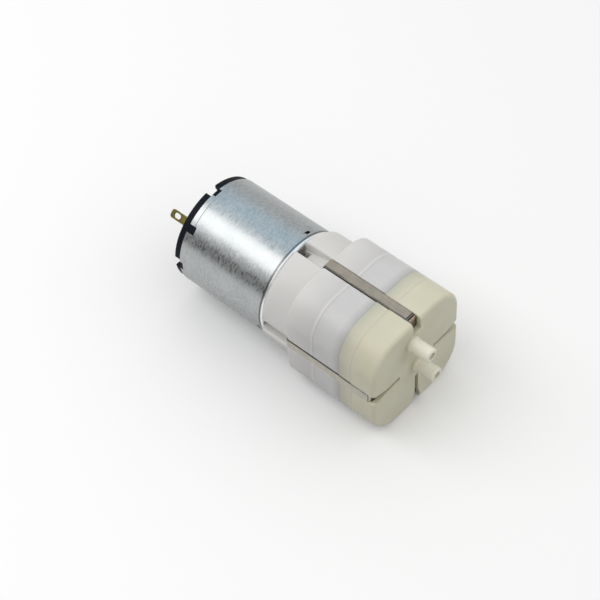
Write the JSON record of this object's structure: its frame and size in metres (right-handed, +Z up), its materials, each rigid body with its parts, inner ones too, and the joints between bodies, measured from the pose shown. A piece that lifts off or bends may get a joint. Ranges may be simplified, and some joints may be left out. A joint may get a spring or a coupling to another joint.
{
  "type": "diaphragm pump",
  "caption": "Small diaphragm pump: steel-canned motor, square pump head of stacked mouldings held by side clips, parallel tube nozzles on its end face.",
  "frame": {"origin": "on the pump's axis, at the middle of the motor can's plain wall", "axes": "+X along the axis towards the nozzles, +Z up from the lower flat of the head towards the side the inlet nozzle is nearest, +Y to the left seen along +X"},
  "size_m": [0.0857, 0.0342, 0.0342],
  "materials": {
    "zinc_steel": "zinc-plated deep-drawn sheet, satin",
    "ferrite": "sintered ferrite, matt",
    "sintered_bronze": "oil-filled sintered bronze",
    "black_moulding": "moulded, near-black, fine satin",
    "terminal_brass": "stamped strip",
    "brush_carbon": "copper-graphite, matt",
    "white_moulding": "moulded, warm white, satin",
    "milky_moulding": "moulded, translucent bluish grey, satin",
    "ivory_moulding": "moulded, ivory, satin",
    "diaphragm_rubber": "moulded, matt",
    "valve_rubber": "moulded, matt",
    "seal_rubber": "moulded, matt",
    "clip_steel": "nickel-bright rolled strip",
    "screw_steel": "zinc-plated",
    "shaft_steel": "ground",
    "lamination_steel": "stacked laminations",
    "enamelled_copper": "enamelled wire",
    "commutator_copper": "turned copper",
    "brown_resin": "moulded phenolic",
    "nylon_washer": "moulded nylon",
    "rocker_moulding": "moulded acetal, white"
  },
  "bodies": {
    "housing": {"motor_can": "zinc_steel", "magnet_upper": "ferrite", "magnet_lower": "ferrite", "front_bush": "sintered_bronze", "rear_bush": "sintered_bronze", "end_cap": "black_moulding", "terminal_upper": "terminal_brass", "terminal_lower": "terminal_brass", "brush_arm_upper": "terminal_brass", "brush_arm_lower": "terminal_brass", "brush_upper": "brush_carbon", "brush_lower": "brush_carbon", "pump_case": "white_moulding", "case_screw_1": "screw_steel", "case_screw_2": "screw_steel", "diaphragm_holder": "milky_moulding", "diaphragm": "diaphragm_rubber", "valve_plate": "ivory_moulding", "outlet_valve": "valve_rubber", "outlet_seal": "seal_rubber", "cover_seal": "seal_rubber", "head_cover": "ivory_moulding", "inlet_valve_1": "valve_rubber", "inlet_valve_2": "valve_rubber", "inlet_valve_3": "valve_rubber", "inlet_valve_4": "valve_rubber", "clip_right": "clip_steel", "clip_top": "clip_steel", "clip_left": "clip_steel", "clip_bottom": "clip_steel"},
    "rotor": {"motor_shaft": "shaft_steel", "armature_core": "lamination_steel", "armature_windings": "enamelled_copper", "commutator": "commutator_copper", "commutator_base": "brown_resin", "thrust_washer": "nylon_washer", "shaft_spacer": "nylon_washer", "crank": "rocker_moulding", "crank_pin": "shaft_steel"},
    "rocker": {"rocker": "rocker_moulding", "cup_foot_1": "diaphragm_rubber", "cup_foot_2": "diaphragm_rubber", "cup_foot_3": "diaphragm_rubber", "cup_foot_4": "diaphragm_rubber"}
  },
  "joints": [
    {"name": "rotor_spin", "type": "hinge", "parent": "housing", "child": "rotor", "pos_m": [0, 0, 0], "axis": [1, 0, 0], "continuous": true},
    {"name": "rocker_on_pin", "type": "hinge", "parent": "rotor", "child": "rocker", "pos_m": [0.0319, 0, 0], "axis": [0.9936, 0.08, 0.08], "continuous": true, "deforming": ["diaphragm"]}
  ],
  "couplings": [
    {"joint": "rocker_on_pin", "follows": "rotor_spin", "ratio": -1}
  ]
}
